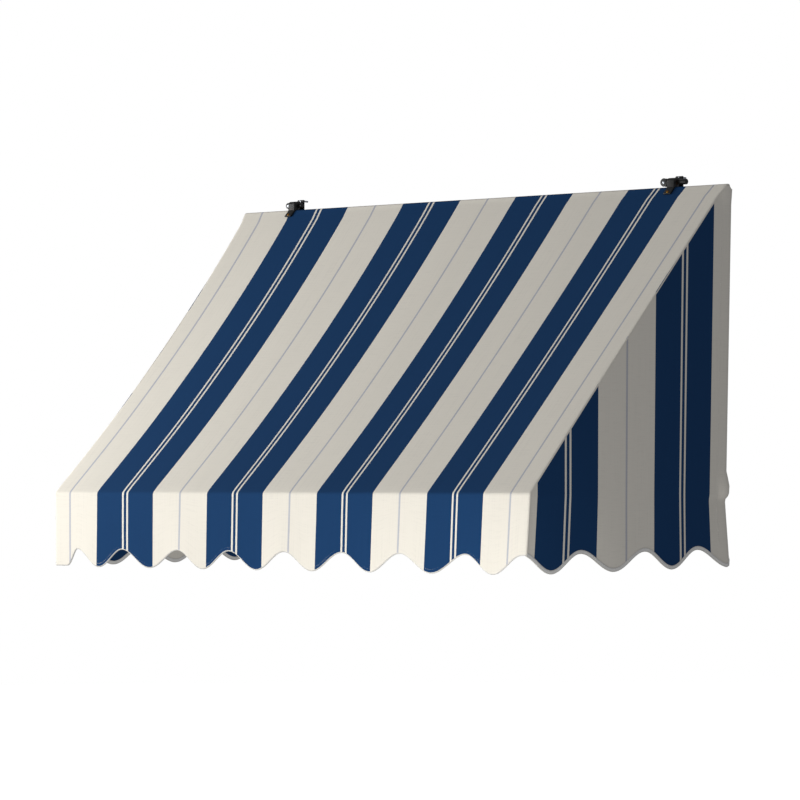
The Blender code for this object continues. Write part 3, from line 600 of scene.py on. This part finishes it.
def seam_height(y):
    """Height of the cover's outer face above y, where the side panel meets it."""
    profile, first_slope = cover_rows()
    top = profile[first_slope - 24:]
    top = top[(top[:, 1] > HEADER.z) | (np.arange(len(top)) >= 24)]
    order = np.argsort(top[:, 0])
    return np.interp(y, top[order, 0], top[order, 1])


def side_points(side, columns):
    """Points of a side panel: columns run from the front corner to the wall, rows from the hem to the seam.

    y is packed closer near both ends. The rear hem is rounded at its foot and turns in at the wall.
    """
    part = np.linspace(0, 1, columns)
    part = part + 0.055 * np.sin(2 * np.pi * part)
    y = FRONT_Y + (REAR_Y - FRONT_Y) * part
    top = seam_height(np.minimum(y, HEADER.y + HEADER_WRAP - 0.6 * MM)) - 1.35 * CLOTH
    top = np.maximum(top, 2.5 * MM)
    foot = 0.014
    into = np.clip((y - REAR_Y + foot) / foot, 0.0, 1.0)
    hem = scallop(y, SIDE_SCALLOPS[side]) + foot * (1 - np.sqrt(1 - into**2))
    share = np.linspace(0, 1, SIDE_ROWS)[:, None]
    z = np.where(share < BELOW_HINGE, hem * (1 - share / BELOW_HINGE),
                 top * (share - BELOW_HINGE) / (1 - BELOW_HINGE))
    y = np.broadcast_to(y, z.shape)
    rear_hem = 7 * MM
    turn = smooth_step((y - REAR_Y + rear_hem) / rear_hem)
    wave = 0.0009 * np.sin(y * 31.0 + 1.0) * np.clip(-z / NOTCH, 0, 1) ** 1.5
    x = side_x(side, y, z) - 0.0028 * turn + wave
    return np.stack([side * x, y, z], axis=-1)


def make_side_panel(label, side, cloth):
    """A side panel: the triangle under the slope and its scalloped valance, in one cloth."""
    points = side_points(side, cloth.side_columns)
    faces = grid_faces(*points.shape[:2])[:, ::side]
    return thicken(mesh_object(f"canvas_side_{label}", points.reshape(-1, 3), faces,
                               points[..., 1:].reshape(-1, 2), canvas("side", cloth)))


def hem_line(side, cloth):
    """The middle of the cloth along a hem, and which way it faces: side 0 is the front."""
    if side == 0:
        hem = cover_points(np.linspace(0, 1, cloth.cover_columns))[0][-1, 3:-3]
        outward = np.array([0.0, -1.0, 0.0])
    else:
        hem = side_points(side, cloth.side_columns)[0]
        outward = np.array([side, 0.0, 0.0])
    return hem - outward * CLOTH / 2, np.broadcast_to(outward, hem.shape)


def make_binding(name, path, outward, width, look):
    """Tape folded round a hem: a slab with a round fold, carried along the hem.

    Point (i, j) = path[i] + height[j] * up[i] + out[j] * outward[i]. The outline goes round the fold below
    the hem and up both sides of the cloth. U is the length along the hem and V the height.
    """
    half = CLOTH / 2 + 0.9 * MM
    edge = 0.4 * MM
    turn = np.linspace(0, np.pi, 5)
    sides = np.array([[width / 2, half], [width - edge, half], [width, half - edge], [width, edge - half],
                      [width - edge, -half], [width / 2, -half]])
    outline = np.vstack([np.stack([-0.8 * MM - half * np.sin(turn), -half * np.cos(turn)], axis=1), sides])
    along = unit(np.gradient(path, axis=0))
    up = unit(np.cross(along, outward))
    up = np.where(up[:, 2:] < 0, -up, up)
    height, out = outline[None, :, :1], outline[None, :, 1:]
    rings = path[:, None] + height * up[:, None] + out * outward[:, None]
    uv = np.stack(np.broadcast_arrays(lengths(path)[:, None], outline[None, :, 0]), axis=-1)
    return lofted(name, rings, uv, look)


def make_bar_pocket(cloth):
    """The strip sewn behind the front bar to hold it: a straight lap, a bend under the bar, and a lap.

    It leaves the slope's underside above the bar, passes behind the bar and ends on the back of the
    valance. It is cut away at each rope eye.
    """
    upper = BAR_YZ + SLOPE_NORMAL * (BAR_WRAP - 2.2 * CLOTH) - SLOPE_DOWN * 0.032
    lower = np.array([FRONT_Y + 2.2 * CLOTH, -0.026])
    enter = touching_angle(upper, BAR_YZ, BAR_WRAP, -1)
    leave = touching_angle(lower, BAR_YZ, BAR_WRAP, 1)
    bend = circle(BAR_YZ, BAR_WRAP, np.linspace(enter, leave, 10))
    profile = np.vstack([straight(upper, bend[0], 5), bend, straight(lower, bend[-1], 4)[::-1]])
    gap = 6 * MM
    end = BAR_HALF - 2 * MM
    x = np.unique(np.concatenate([np.linspace(-end, end, 121), [s * ROPE_EYE_X + w for _, s in SIDES
                                                                for w in (-gap, gap)]]))
    points = np.empty((len(profile), len(x), 3))
    points[..., 0] = x
    points[..., 1:] = profile[:, None]
    faces = grid_faces(*points.shape[:2])[:, ::-1]
    middle = np.abs(points.reshape(-1, 3)[faces].mean(axis=1)[:, 0])
    faces = faces[np.abs(middle - ROPE_EYE_X) > gap]
    uv = np.stack(np.broadcast_arrays(x[None, :], -lengths(profile)[:, None]), axis=-1)
    return thicken(mesh_object("bar_pocket", points.reshape(-1, 3), faces, uv.reshape(-1, 2),
                               canvas("cover", cloth)))


def stitches(name, rows, look):
    """Rows of stitches: small ellipsoids that lie along paths, 4.2 mm apart. rows are (path, outward).

    Point (i, j) of one = centre + length / 2 * cos(a_i) * along + radius * sin(a_i) * (cos(b_j) * out +
    1.3 * sin(b_j) * across).
    """
    pitch, length, radius, probe = 4.2 * MM, 3.0 * MM, 0.33 * MM, 1 * MM
    tilt = np.linspace(0.0, np.pi, 5)[:, None, None]
    turn = np.linspace(0, 2 * np.pi, 7)[None, :-1, None]
    bodies = []
    for path, outward in rows:
        at = lengths(path)
        places = np.arange(pitch / 2, at[-1], pitch)
        centre, ahead, behind, out = (
            np.stack([np.interp(where, at, line[:, k]) for k in range(3)], axis=1)
            for where, line in ((places, path), (places + probe, path), (places - probe, path),
                                (places, outward)))
        along = unit(ahead - behind)
        out = unit(out - along * (out * along).sum(axis=1, keepdims=True))
        across = np.cross(along, out)
        centre, along, out, across = (v[:, None, None] for v in (centre, along, out, across))
        round_it = np.cos(turn) * out + 1.3 * np.sin(turn) * across
        bodies.append(centre + length / 2 * np.cos(tilt) * along + radius * np.sin(tilt) * round_it)
    points = np.concatenate(bodies)
    one = grid_faces(5, 6, wrap_columns=True)
    faces = (one + 30 * np.arange(len(points))[:, None, None]).reshape(-1, 4)
    points = points.reshape(-1, 3)
    return close_up(mesh_object(name, points, faces, points[:, :2], look))


# --- Castings ----------------------------------------------------------------------------------------

def rounded(outline, radius, count=5):
    """Rounds each corner of a closed outline (n, 2) with a quadratic curve that starts radius from it."""
    before = np.roll(outline, 1, axis=0) - outline
    after = np.roll(outline, -1, axis=0) - outline
    shorter = np.minimum(np.linalg.norm(before, axis=1), np.linalg.norm(after, axis=1))
    reach = np.minimum(radius, 0.45 * shorter)
    start = outline + unit(before) * reach[:, None]
    end = outline + unit(after) * reach[:, None]
    t = np.linspace(0, 1, count)[None, :, None]
    curve = (1 - t) ** 2 * start[:, None] + 2 * t * (1 - t) * outline[:, None] + t**2 * end[:, None]
    return curve.reshape(-1, 2)


def cast_slab(name, outline, low_x, high_x, edge, look):
    """A casting with one (y, z) section along X, whose two end faces are rounded by edge all round.

    Ring i stands at x_i, and its outline is drawn in along its normals by edge * (1 - sin(a_i)).
    """
    ahead = np.roll(outline, -1, axis=0) - np.roll(outline, 1, axis=0)
    inward = unit(np.stack([-ahead[:, 1], ahead[:, 0]], axis=1))
    area = (outline[:, 0] * np.roll(outline[:, 1], -1) - np.roll(outline[:, 0], -1) * outline[:, 1]).sum()
    inward = inward * np.sign(area)
    turn = np.linspace(0, np.pi / 2, 5)
    draw = edge * np.concatenate([1 - np.sin(turn), (1 - np.sin(turn))[::-1]])
    x = np.concatenate([low_x + edge * (1 - np.cos(turn)), (high_x - edge * (1 - np.cos(turn)))[::-1]])
    rings = np.empty((len(x), len(outline), 3))
    rings[..., 0] = x[:, None]
    rings[..., 1:] = outline[None] + inward[None] * draw[:, None, None]
    return lofted(name, rings, rings[..., 1:], look)


def turned(name, profile, centre, axis, look, steps=28):
    """A turned piece: ring i has radius profile[i, 0] at height profile[i, 1] along the axis."""
    axis = np.array(axis, float)
    side = unit(np.cross(axis, [0.3, 0.2, 0.93]))
    other = np.cross(axis, side)
    turn = np.linspace(0, 2 * np.pi, steps + 1)[:-1, None]
    spoke = np.cos(turn) * side + np.sin(turn) * other
    rings = np.array(centre) + profile[:, 1, None, None] * axis + profile[:, 0, None, None] * spoke[None]
    uv = np.stack(np.broadcast_arrays(turn[None, :, 0], profile[:, 1:]), axis=-1)
    return lofted(name, rings, uv, look)


def capsule(length, radius, dome, count=6):
    """Profile (radius, height) of a rod with domed ends, from its foot up."""
    turn = np.linspace(0.08, np.pi / 2, count)
    foot = np.stack([radius * np.sin(turn), dome * (1 - np.cos(turn))], axis=1)
    head = np.stack([radius * np.sin(turn), length - dome * (1 - np.cos(turn))], axis=1)[::-1]
    return np.vstack([foot, head])


def bracket_outline():
    """(y, z) outline of a head bracket: wall plate, crown, tongue on the slope, jaw under the tube."""
    clear = HEADER_WRAP + 0.8 * MM
    hook = circle(TUBE_YZ, clear, np.linspace(math.radians(62), TANGENT, 7))
    root = TUBE_YZ + SLOPE_NORMAL * (clear + 3.5 * MM)
    tongue = np.array([hook[-1] + SLOPE_DOWN * 19 * MM, root + SLOPE_DOWN * 19 * MM, root])
    crown = circle((HEADER.y - 2 * MM, HEADER.z + 22 * MM), 9 * MM, np.radians([150.0, 130.0, 110.0, 90.0]))
    jaw_top = HEADER.z - HEADER_RADIUS - TOUCH
    jaw = HEADER.y - 12.5 * MM
    wall = -4 * MM
    plate = np.array([[wall, HEADER.z + 31 * MM], [wall, HEADER.z + 36 * MM], [0.0, HEADER.z + 36 * MM],
                      [0.0, HEADER.z - 34 * MM], [wall, HEADER.z - 34 * MM], [wall, jaw_top - 4 * MM],
                      [jaw + 2.5 * MM, jaw_top - 4 * MM], [jaw, jaw_top], [jaw, jaw_top + 4 * MM],
                      [jaw + 2 * MM, jaw_top + 4 * MM], [jaw + 4 * MM, jaw_top], [wall, jaw_top],
                      [wall, hook[0, 1]]])
    return np.vstack([tongue, crown, plate, hook[:-1]])


def make_castings(label, side, look):
    """The cast pieces of one head fitting: bracket, pulley block and barrel nut, as smooth castings."""
    x = side * BRACKET_X
    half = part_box(f"head_bracket_{label}")[1].x - x
    edge = 1.4 * MM
    bracket = cast_slab(f"bracket_casting_{label}", rounded(bracket_outline(), 1.2 * MM), x - half, x + half,
                        edge, look)
    low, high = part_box(f"pulley_block_{label}")
    low, high = np.array(low), np.array(high)
    centre = middle_of(f"sheave_axle_{label}")
    plate = np.array([[low[1], low[2]], [high[1], low[2]], [high[1], high[2]], [low[1], high[2]]])
    back = 2 * MM
    pieces = [cast_slab(f"pulley_plate_{label}", rounded(plate, 3 * MM), high[0] - back, high[0],
                        0.6 * MM, look)]
    sheaves = sum(name.startswith(f"sheave_{label}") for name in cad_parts)
    radius = high[0] - back - centre.x - TOUCH
    cheek, round_edge, hub = 1.5 * MM, 0.6 * MM, 0.5 * MM
    pitch = (high[1] - low[1] - cheek) / sheaves
    turn = np.linspace(0.0, np.pi / 2, 4)
    rim = np.stack([radius - round_edge * (1 - np.sin(turn)), round_edge * (1 - np.cos(turn))], axis=1)
    disc = np.vstack([[hub, 0.0], rim, [radius, cheek - round_edge], (rim * [1, -1] + [0, cheek])[::-1][1:],
                      [hub, cheek]])
    for k in range(sheaves + 1):
        pieces.append(turned(f"pulley_cheek_{label}_{k}", disc, (centre.x, low[1] + k * pitch, centre.z),
                             (0, 1, 0), look))
    nut_low, nut_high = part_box(f"barrel_nut_{label}")
    thick = (nut_high.z - nut_low.z) / 2
    nut = turned(f"barrel_nut_cast_{label}", capsule(nut_high.x - nut_low.x, thick, 0.45 * thick),
                 (nut_low.x, (nut_low.y + nut_high.y) / 2, (nut_low.z + nut_high.z) / 2), (1, 0, 0), look)
    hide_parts(f"head_bracket_{label}")
    for piece in pieces:
        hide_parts(f"pulley_block_{label}")
    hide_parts(f"barrel_nut_{label}")
    made = [bracket, nut, *pieces]
    for piece in made:
        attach(piece, "wall_side")


# --- Settings ----------------------------------------------------------------------------------------

class AwningClothSettings(bpy.types.PropertyGroup):
    """Colours and fineness of the canvas"""
    cream: FloatVectorProperty(name="Cream", description="Undyed bands of the canvas", subtype="COLOR",
                               size=3, min=0.0, max=1.0, default=linear("#F4EEE0")[:3])
    blue: FloatVectorProperty(name="Blue", description="Dyed bands of the canvas", subtype="COLOR",
                              size=3, min=0.0, max=1.0, default=linear("#1A3F69")[:3])
    pinstripe: FloatVectorProperty(name="Pinstripe", description="Thin line in each cream band",
                                   subtype="COLOR", size=3, min=0.0, max=1.0,
                                   default=linear("#C6C6CB")[:3])
    cover_columns: IntProperty(name="Cover columns", description="Points across the cover", default=250,
                               min=60, max=400)
    side_columns: IntProperty(name="Side columns", description="Points along each side panel", default=150,
                              min=40, max=300)


class AwningStageSettings(bpy.types.PropertyGroup):
    """The floor, the lights and the camera"""
    floor_drop: FloatProperty(name="Floor drop", description="Floor below the arm hinges", default=4.0,
                              unit="LENGTH", min=0.5)
    front_light: FloatProperty(name="Front light", description="Strength of the large front light",
                               default=7.4, min=0.0)
    left_light: FloatProperty(name="Left light", description="Strength of the light past the left end",
                              default=2.3, min=0.0)
    low_light: FloatProperty(name="Low light", description="Strength of the low right fill", default=0.776,
                             min=0.0)
    ambient: FloatProperty(name="Ambient", description="Strength of the even light", default=0.259, min=0.0)
    lens: FloatProperty(name="Lens", description="Focal length on a 36 mm sensor", default=161.63,
                        unit="CAMERA")


# --- Operators ---------------------------------------------------------------------------------------

class AWNING_OT_cover(bpy.types.Operator):
    """Makes the striped top panel with its front valance, and the pocket that holds the front bar"""
    bl_idname = "awning.cover"
    bl_label = "Canvas Cover"

    def execute(self, context):
        cloth = context.scene.awning_cloth
        cover = make_cover(cloth)
        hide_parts("cover_cloth")
        blend_with_frame(cover)
        pocket = make_bar_pocket(cloth)
        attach(pocket, "frame")
        return {"FINISHED"}


class AWNING_OT_side_panels(bpy.types.Operator):
    """Makes the two side panels with their valances"""
    bl_idname = "awning.side_panels"
    bl_label = "Canvas Side Panels"

    def execute(self, context):
        for label, side in SIDES:
            panel = make_side_panel(label, side, context.scene.awning_cloth)
            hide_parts(f"wing_cloth_{label}")
            blend_with_frame(panel)
        return {"FINISHED"}


class AWNING_OT_bindings(bpy.types.Operator):
    """Binds the scalloped hems with white tape"""
    bl_idname = "awning.bindings"
    bl_label = "Hem Bindings"

    def execute(self, context):
        cloth = context.scene.awning_cloth
        front = make_binding("front_binding", *hem_line(0, cloth), FRONT_BINDING,
                             ribbed_tape("binding_tape_front", FRONT_BINDING))
        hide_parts("front_braid")
        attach(front, "frame")
        tape = ribbed_tape("binding_tape_side", SIDE_BINDING)
        for label, side in SIDES:
            binding = make_binding(f"side_binding_{label}", *hem_line(side, cloth), SIDE_BINDING, tape)
            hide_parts(f"wing_braid_{label}")
            blend_with_frame(binding)
        return {"FINISHED"}


class AWNING_OT_stitching(bpy.types.Operator):
    """Sews the bindings, the slope's side seams, the head sleeve, the bar pocket and the rear hems"""
    bl_idname = "awning.stitching"
    bl_label = "Stitching"

    def execute(self, context):
        cloth = context.scene.awning_cloth
        thread = sewing_thread()
        hem, outward = hem_line(0, cloth)
        proud = CLOTH / 2 + 0.95 * MM
        row = hem + outward * proud + np.array([0.0, 0.0, FRONT_BINDING - 2 * MM])
        front = stitches("front_stitches", [(row, outward)], thread)
        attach(front, "frame")
        for label, side in SIDES:
            hem, outward = hem_line(side, cloth)
            bound = hem + outward * proud + np.array([0.0, 0.0, SIDE_BINDING - 1.6 * MM])
            panel = side_points(side, cloth.side_columns)
            rear = panel[6:, -7] + [0.05 * side * MM, 0.0, 0.0]
            rows = [(bound, outward), (rear, np.broadcast_to(outward[0], rear.shape))]
            sewn = stitches(f"side_stitches_{label}", rows, thread)
            blend_with_frame(sewn)
        points, _ = cover_points(np.linspace(0, 1, cloth.cover_columns))
        first_slope = cover_rows()[1]
        slope_normal = np.array([0.0, *SLOPE_NORMAL])
        rows = []
        for column in (4, -5):
            seam = points[first_slope:-VALANCE_ROWS - WRAP_POINTS, column] + slope_normal * 0.05 * MM
            rows.append((seam, np.broadcast_to(slope_normal, seam.shape)))
        # Two rows close the head sleeve and one the bar pocket, counted in slope rows from each end.
        for step in (2, 3):
            across = points[first_slope + step, 4:-4] + slope_normal * 0.05 * MM
            away = np.abs(np.abs(across[:, 0]) - BRACKET_X) > BRACKET_GAP
            for part in np.split(np.arange(len(across)), np.flatnonzero(np.diff(away.astype(int))) + 1):
                if away[part[0]] and len(part) > 1:
                    rows.append((across[part], np.broadcast_to(slope_normal, across[part].shape)))
        pocket = points[-VALANCE_ROWS - WRAP_POINTS - 2, 4:-4] + slope_normal * 0.05 * MM
        rows.append((pocket, np.broadcast_to(slope_normal, pocket.shape)))
        sewn = stitches("cover_stitches", rows, thread)
        blend_with_frame(sewn)
        return {"FINISHED"}


class AWNING_OT_castings(bpy.types.Operator):
    """Makes the cast brackets, pulley blocks and barrel nuts at the head"""
    bl_idname = "awning.castings"
    bl_label = "Head Castings"

    def execute(self, context):
        look = powder_coat("black_powder_coat")
        for label, side in SIDES:
            make_castings(label, side, look)
        return {"FINISHED"}


class AWNING_OT_frame_finish(bpy.types.Operator):
    """Gives the tubes, screws, hinges and pulleys their finishes"""
    bl_idname = "awning.frame_finish"
    bl_label = "Frame Finishes"

    def execute(self, context):
        finishes = (
            (drawn_aluminium("drawn_aluminium_along_x", 0), ("header_tube", "front_bar")),
            (drawn_aluminium("drawn_aluminium_along_y", 1), ("arm_left", "arm_right")),
            (small_metal("zinc_casting", "#A9ABAD", "#8E9092", 0.48), ("arm_eye", "corner_elbow")),
            (moulded_nylon("black_nylon"), ("sheave", "header_cap")),
            (small_metal("zinc_plated_steel", "#C3C6CA", "#9EA3A8", 0.32),
             ("bracket_screw", "sheave_axle", "block_stud", "wall_hinge", "hinge_screw", "hinge_pin",
              "pin_washer", "elbow_screw", "rope_eye")),
            (small_metal("plain_brass", "#B8863B", "#8A5A25", 0.34), ("cloth_screw",)),
        )
        # The longest prefix wins, so that sheave_axle isn't taken for a sheave.
        prefixes = sorted(((p, look) for look, names in finishes for p in names), key=lambda x: -len(x[0]))
        for name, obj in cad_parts.items():
            look = next((look for prefix, look in prefixes if name.startswith(prefix)), None)
            if look:
                obj.data.materials.clear()
                obj.data.materials.append(look)
        return {"FINISHED"}


class AWNING_OT_stage(bpy.types.Operator):
    """Sets the pale floor, the soft lights and the camera"""
    bl_idname = "awning.stage"
    bl_label = "Stage"

    def execute(self, context):
        scene = context.scene
        stage = scene.awning_stage
        scene.view_settings.view_transform = "Standard"
        make_floor(stage.floor_drop)
        make_world(stage.ambient)
        add_softbox("front_softbox", (-2.849, -3.745, -0.631), stage.front_light, 2.2)
        add_softbox("left_softbox", (-1.876, -1.433, 0.532), stage.left_light, 0.7)
        add_softbox("low_fill", (0.693, -1.55, -0.65), stage.low_light, 0.8)
        add_camera(stage.lens)
        return {"FINISHED"}


def make_floor(drop):
    """A pale disc far below the awning, lit evenly enough to run into the white behind."""
    turn = np.linspace(0, 2 * np.pi, 97)[:-1]
    radius = 60.0
    points = np.stack([radius * np.cos(turn), radius * np.sin(turn), np.full_like(turn, -drop)], axis=1)
    mesh = bpy.data.meshes.new("floor")
    mesh.from_pydata(points.tolist(), [], [list(range(len(points)))])
    floor = bpy.data.objects.new("floor", mesh)
    bpy.context.scene.collection.objects.link(floor)
    look = surface("pale_floor", Base_Color=linear("#F4F4F2"), Roughness=0.95,
                   Emission_Color=linear("#FFFFFF"), Emission_Strength=0.85)[0]
    mesh.materials.append(look)
    floor.visible_diffuse = False
    floor.visible_glossy = False


def make_world(ambient):
    """White where the camera looks past the awning, and a dimmer even light on the cloth."""
    world = bpy.data.worlds.new("studio")
    bpy.context.scene.world = world
    world.use_nodes = True
    tree = world.node_tree
    tree.nodes.clear()
    seen = node(tree, "ShaderNodeBackground", {"Color": linear("#FFFFFF"), "Strength": 1.0})
    lit = node(tree, "ShaderNodeBackground", {"Color": linear("#F6F8FF"), "Strength": ambient})
    path = node(tree, "ShaderNodeLightPath")
    mixed = node(tree, "ShaderNodeMixShader", {0: path.outputs["Is Camera Ray"], 1: lit.outputs[0],
                                              2: seen.outputs[0]})
    node(tree, "ShaderNodeOutputWorld", {"Surface": mixed.outputs[0]})


def add_softbox(name, place, strength, size):
    """A square area light aimed at the awning. strength is its light a metre away, as a share of white."""
    light = bpy.data.lights.new(name, "AREA")
    light.shape = "SQUARE"
    light.size = size
    light.energy = strength * math.pi**2
    obj = bpy.data.objects.new(name, light)
    bpy.context.scene.collection.objects.link(obj)
    obj.location = place
    aim = Vector((0.0, -0.35, 0.15))
    obj.rotation_euler = (aim - obj.location).to_track_quat("-Z", "Y").to_euler()


def add_camera(lens):
    """The camera stands to the right of the awning, level with the front valance, and looks slightly up."""
    camera = bpy.data.cameras.new("camera")
    camera.sensor_width = 36.0
    camera.lens = lens
    camera.clip_end = 200.0
    obj = bpy.data.objects.new("camera", camera)
    bpy.context.scene.collection.objects.link(obj)
    obj.location = (4.5844, -6.1239, 0.0545)
    obj.rotation_euler = (math.radians(90 + 1.0715), math.radians(0.2), math.radians(38.163))
    bpy.context.scene.camera = obj


class AWNING_PT_panel(bpy.types.Panel):
    """Lists the settings and the steps that dress the awning"""
    bl_label = "Window Awning"
    bl_idname = "AWNING_PT_panel"
    bl_space_type = "VIEW_3D"
    bl_region_type = "UI"
    bl_category = "Awning"

    def draw(self, context):
        for settings in (context.scene.awning_cloth, context.scene.awning_stage):
            for name in settings.bl_rna.properties.keys():
                if name not in ("rna_type", "name"):
                    self.layout.prop(settings, name)
        for operator in OPERATORS:
            self.layout.operator(operator.bl_idname)


OPERATORS = (AWNING_OT_cover, AWNING_OT_side_panels, AWNING_OT_bindings, AWNING_OT_stitching,
             AWNING_OT_castings, AWNING_OT_frame_finish, AWNING_OT_stage)
CLASSES = (AwningClothSettings, AwningStageSettings, *OPERATORS, AWNING_PT_panel)


def register():
    for cls in CLASSES:
        bpy.utils.register_class(cls)
    bpy.types.Scene.awning_cloth = PointerProperty(type=AwningClothSettings)
    bpy.types.Scene.awning_stage = PointerProperty(type=AwningStageSettings)


def unregister():
    del bpy.types.Scene.awning_stage
    del bpy.types.Scene.awning_cloth
    for cls in reversed(CLASSES):
        bpy.utils.unregister_class(cls)


def main():
    register()
    for operator in OPERATORS:
        group, name = operator.bl_idname.split(".")
        getattr(getattr(bpy.ops, group), name)()


if __name__ == "__main__":
    main()
